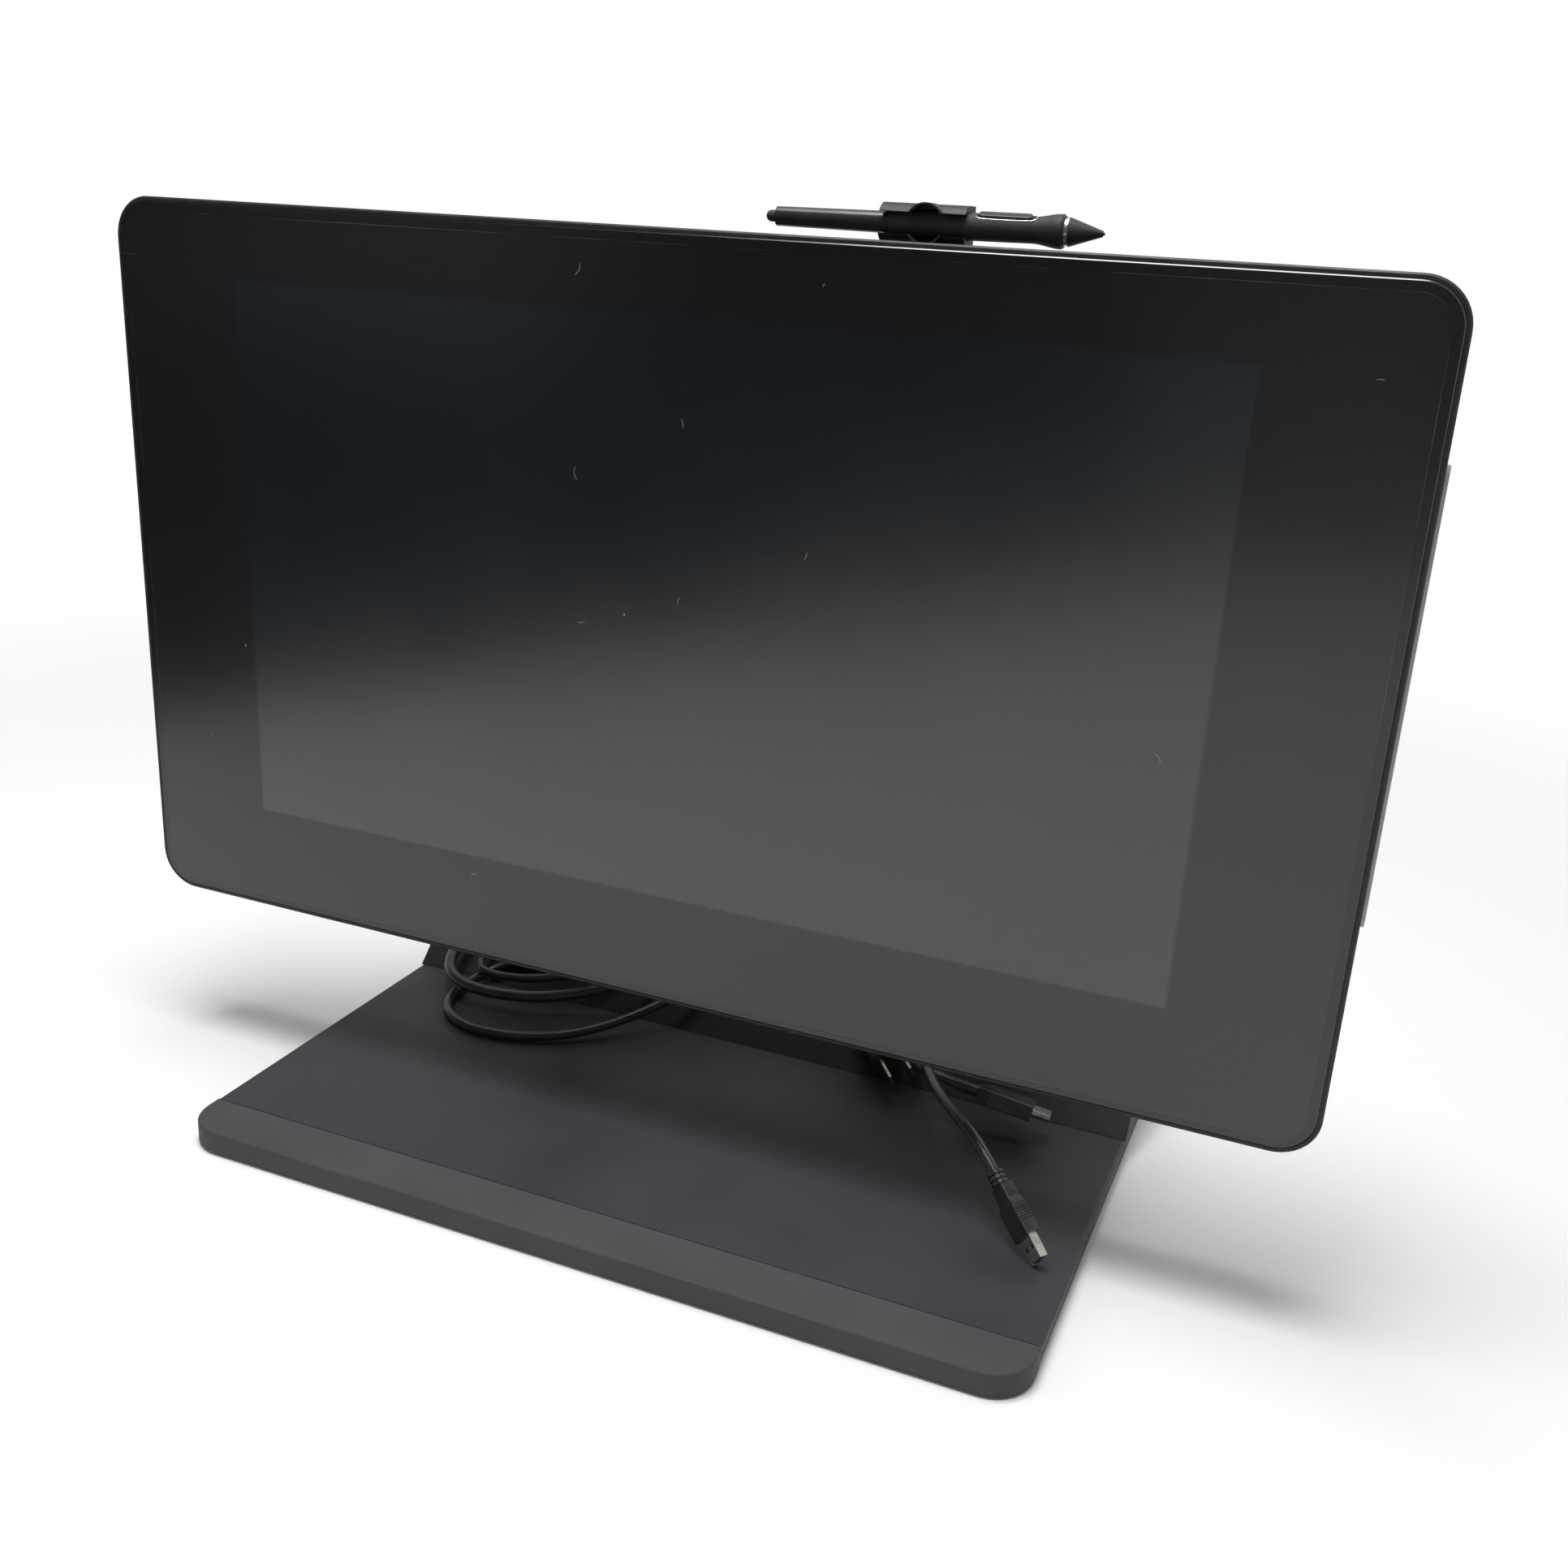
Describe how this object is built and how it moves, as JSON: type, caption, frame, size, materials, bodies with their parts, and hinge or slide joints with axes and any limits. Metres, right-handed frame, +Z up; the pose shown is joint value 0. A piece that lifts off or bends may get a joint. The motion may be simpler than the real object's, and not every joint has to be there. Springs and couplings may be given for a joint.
{
  "type": "pen display on two-arm stand",
  "caption": "Large screen drawing tablet on a two-arm tilting stand with a broad base, a pen in its clip holder on the top edge, and three loose leads with plugs",
  "frame": {"origin": "middle of the base's footprint on the table", "axes": "+Z up, +X to the right of someone facing the screen, -Y towards them"},
  "size_m": [0.6802, 0.339, 0.5075],
  "materials": {
    "base_metal": "matt black powder coat",
    "base_plastic": "fine-textured black plastic",
    "cover_plastic": "fine-textured black plastic",
    "foot_rubber": "soft black rubber",
    "trim_rubber": "soft-touch dark grey coating, scuffed",
    "dark_steel": "blackened steel",
    "plain_steel": "plain rolled steel",
    "arm_metal": "satin black paint on cast aluminium",
    "bush_plastic": "acetal bearing plastic",
    "frame_metal": "black anodised aluminium",
    "screen_glass": "black-backed cover glass",
    "screen_film": "etched anti-glare film over black glass",
    "panel_dark": "dark panel, switched off",
    "board_green": "solder-masked circuit board",
    "vent_grey": "pale grey plastic",
    "socket_metal": "plated socket shells",
    "button_plastic": "smooth black plastic",
    "cord_plastic": "black cable jacket",
    "plug_metal": "nickel-plated steel",
    "pen_gloss": "glossy black plastic",
    "pen_rubber": "black rubber grip",
    "nib_plastic": "black acetal nib"
  },
  "bodies": {
    "base": {"base_plate": "base_metal", "base_tray": "base_plastic", "rubber_feet": "foot_rubber", "base_screws": "dark_steel", "front_trim": "trim_rubber", "rear_housing": "base_plastic", "ballast_block": "plain_steel", "cable_glands": "cord_plastic", "pivot_brackets": "plain_steel", "pivot_bushes": "bush_plastic", "lift_springs": "plain_steel", "usb_cord": "cord_plastic", "usb_plug": "cord_plastic", "usb_shell": "plug_metal", "mains_cord": "cord_plastic", "mains_plug": "cord_plastic", "mains_blades": "plug_metal", "video_cord": "cord_plastic", "video_plug": "cord_plastic", "video_shell": "plug_metal"},
    "arms": {"arm_shafts": "plain_steel", "arm_left": "arm_metal", "arm_right": "arm_metal", "arm_covers": "base_plastic", "cross_tube": "arm_metal", "hub_caps": "base_plastic", "friction_washers": "plain_steel"},
    "tilt_head": {"tilt_yoke": "arm_metal", "tilt_bushes": "bush_plastic", "turntable_plate": "dark_steel", "head_fasteners": "dark_steel", "slip_ring": "bush_plastic"},
    "lever_left": {"release_lever_left": "base_plastic"},
    "lever_right": {"release_lever_right": "base_plastic"},
    "display": {"mount_plate": "dark_steel", "mount_screws": "dark_steel", "turntable_pin": "plain_steel", "bezel_frame": "frame_metal", "cover_glass": "screen_glass", "surface_film": "screen_film", "lcd_panel": "panel_dark", "pen_sensor": "board_green", "backlight_unit": "plain_steel", "chassis_plate": "plain_steel", "circuit_boards": "board_green", "fan_cases": "base_plastic", "rear_cover": "cover_plastic", "port_sockets": "socket_metal", "side_vents": "vent_grey", "pen_holder": "cover_plastic"},
    "fan_left": {"fan_rotor_left": "base_plastic"},
    "fan_right": {"fan_rotor_right": "base_plastic"},
    "power_button": {"power_button": "button_plastic"},
    "pen": {"pen_barrel": "pen_gloss", "pen_grip": "pen_rubber", "pen_ring": "plug_metal", "pen_nose": "pen_rubber"},
    "pen_switch": {"pen_switch": "pen_gloss"},
    "pen_nib": {"pen_nib": "nib_plastic"},
    "pen_end": {"pen_end": "pen_rubber"}
  },
  "joints": [
    {"name": "arm_lift", "type": "hinge", "parent": "base", "child": "arms", "pos_m": [0, 0.125, 0.05], "axis": [1, 0, 0], "range_deg": [-30, 12]},
    {"name": "display_tilt", "type": "hinge", "parent": "arms", "child": "tilt_head", "pos_m": [0, 0.01, 0.2937], "axis": [-1, 0, 0], "range_deg": [-5, 65]},
    {"name": "display_rotate", "type": "hinge", "parent": "tilt_head", "child": "display", "pos_m": [0, 0, 0.2937], "axis": [0, -1, 0], "range_deg": [-10, 10]},
    {"name": "lever_left_squeeze", "type": "hinge", "parent": "tilt_head", "child": "lever_left", "pos_m": [-0.095, 0.016, 0.2677], "axis": [-1, 0, 0], "range_deg": [0, 12], "stiffness_Nm_per_rad": 0.6, "springref_deg": -8.59},
    {"name": "lever_right_squeeze", "type": "hinge", "parent": "tilt_head", "child": "lever_right", "pos_m": [0.095, 0.016, 0.2677], "axis": [-1, 0, 0], "range_deg": [0, 12], "stiffness_Nm_per_rad": 0.6, "springref_deg": -8.59},
    {"name": "fan_left_spin", "type": "hinge", "parent": "display", "child": "fan_left", "pos_m": [-0.205, -0.04, 0.3337], "axis": [0, 1, 0], "continuous": true},
    {"name": "fan_right_spin", "type": "hinge", "parent": "display", "child": "fan_right", "pos_m": [0.205, -0.04, 0.3337], "axis": [0, 1, 0], "continuous": true},
    {"name": "power_press", "type": "slide", "parent": "display", "child": "power_button", "axis": [0, 0, -1], "range_m": [0, 0.0008], "stiffness_N_per_m": 800, "springref_m": -0.0005},
    {"name": "pen_lift_off", "type": "slide", "parent": "display", "child": "pen", "axis": [1, 0, 0], "range_m": [0, 0.105]},
    {"name": "pen_switch_rock", "type": "hinge", "parent": "pen", "child": "pen_switch", "pos_m": [0.142, -0.0388, 0.50311], "axis": [0, 0.9063, 0.4226], "range_deg": [-2.5, 2.5], "stiffness_Nm_per_rad": 0.05},
    {"name": "nib_press", "type": "slide", "parent": "pen", "child": "pen_nib", "axis": [-1, 0, 0], "range_m": [0, 0.0005], "stiffness_N_per_m": 400, "springref_m": -0.0003},
    {"name": "eraser_press", "type": "slide", "parent": "pen", "child": "pen_end", "axis": [1, 0, 0], "range_m": [0, 0.0005], "stiffness_N_per_m": 400, "springref_m": -0.0003}
  ]
}
